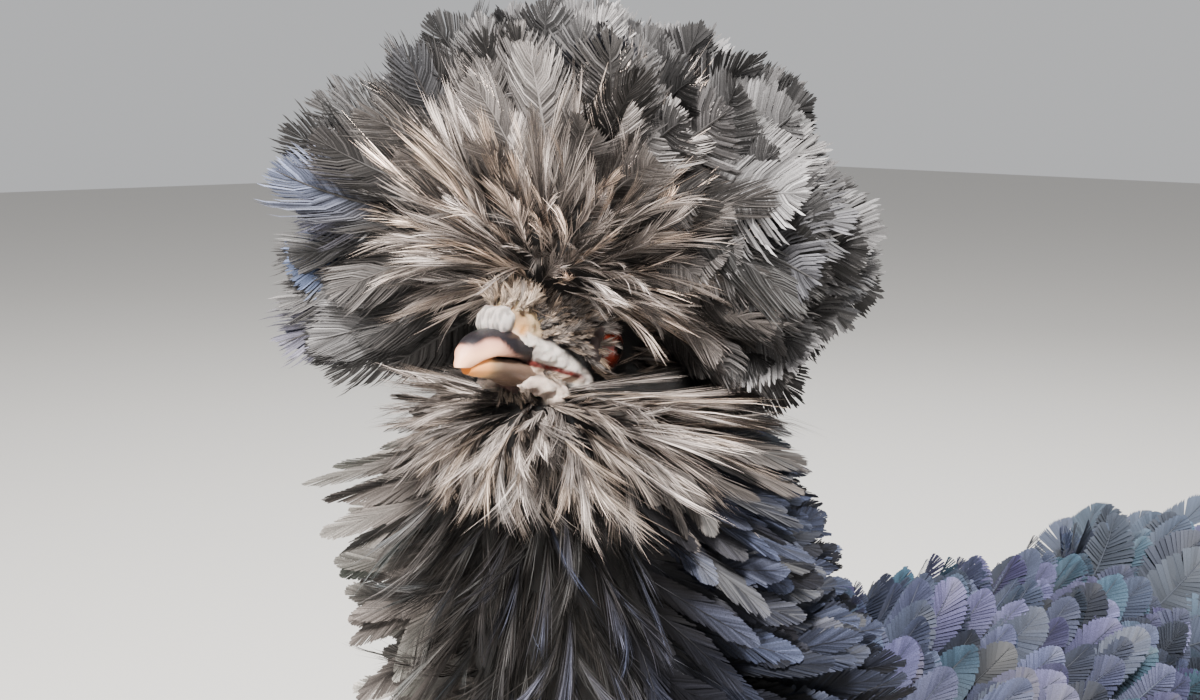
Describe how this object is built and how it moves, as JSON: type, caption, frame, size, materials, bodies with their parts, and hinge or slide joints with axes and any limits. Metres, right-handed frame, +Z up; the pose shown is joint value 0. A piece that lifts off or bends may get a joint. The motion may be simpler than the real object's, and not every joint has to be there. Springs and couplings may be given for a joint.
{
  "type": "crested chicken model",
  "caption": "Life-size still model of a standing crested hen: round feather crest over the eyes, beard and muffs, frizzled dark coat, fanned tail, slate legs, head turned to one side.",
  "frame": {"origin": "on the floor, under the middle of the model's box", "axes": "+Z up, -Y the way the body faces, +X the hen's left side"},
  "size_m": [0.1557, 0.3486, 0.3987],
  "materials": {
    "plumage": "black feathers with a green and violet sheen",
    "face_skin": "bare, dusty pink skin",
    "bill_horn": "smooth horn, dark along the ridge",
    "eye": "wet and glossy",
    "leg_scales": "slate scales",
    "claw_horn": "dark horn"
  },
  "bodies": {
    "root": {"crest": "plumage", "beard": "plumage", "muff_left": "plumage", "muff_right": "plumage", "neck": "plumage", "torso": "plumage", "tail": "plumage", "wing_left": "plumage", "wing_right": "plumage", "thigh_left": "plumage", "thigh_right": "plumage", "head": "face_skin", "beak_upper": "bill_horn", "beak_lower": "bill_horn", "eye_left": "eye", "eye_right": "eye", "shank_left": "leg_scales", "shank_right": "leg_scales", "toe_left_inner": "leg_scales", "toe_left_middle": "leg_scales", "toe_left_outer": "leg_scales", "toe_left_hind": "leg_scales", "toe_right_inner": "leg_scales", "toe_right_middle": "leg_scales", "toe_right_outer": "leg_scales", "toe_right_hind": "leg_scales", "claw_left_inner": "claw_horn", "claw_left_middle": "claw_horn", "claw_left_outer": "claw_horn", "claw_left_hind": "claw_horn", "claw_right_inner": "claw_horn", "claw_right_middle": "claw_horn", "claw_right_outer": "claw_horn", "claw_right_hind": "claw_horn"}
  },
  "joints": []
}
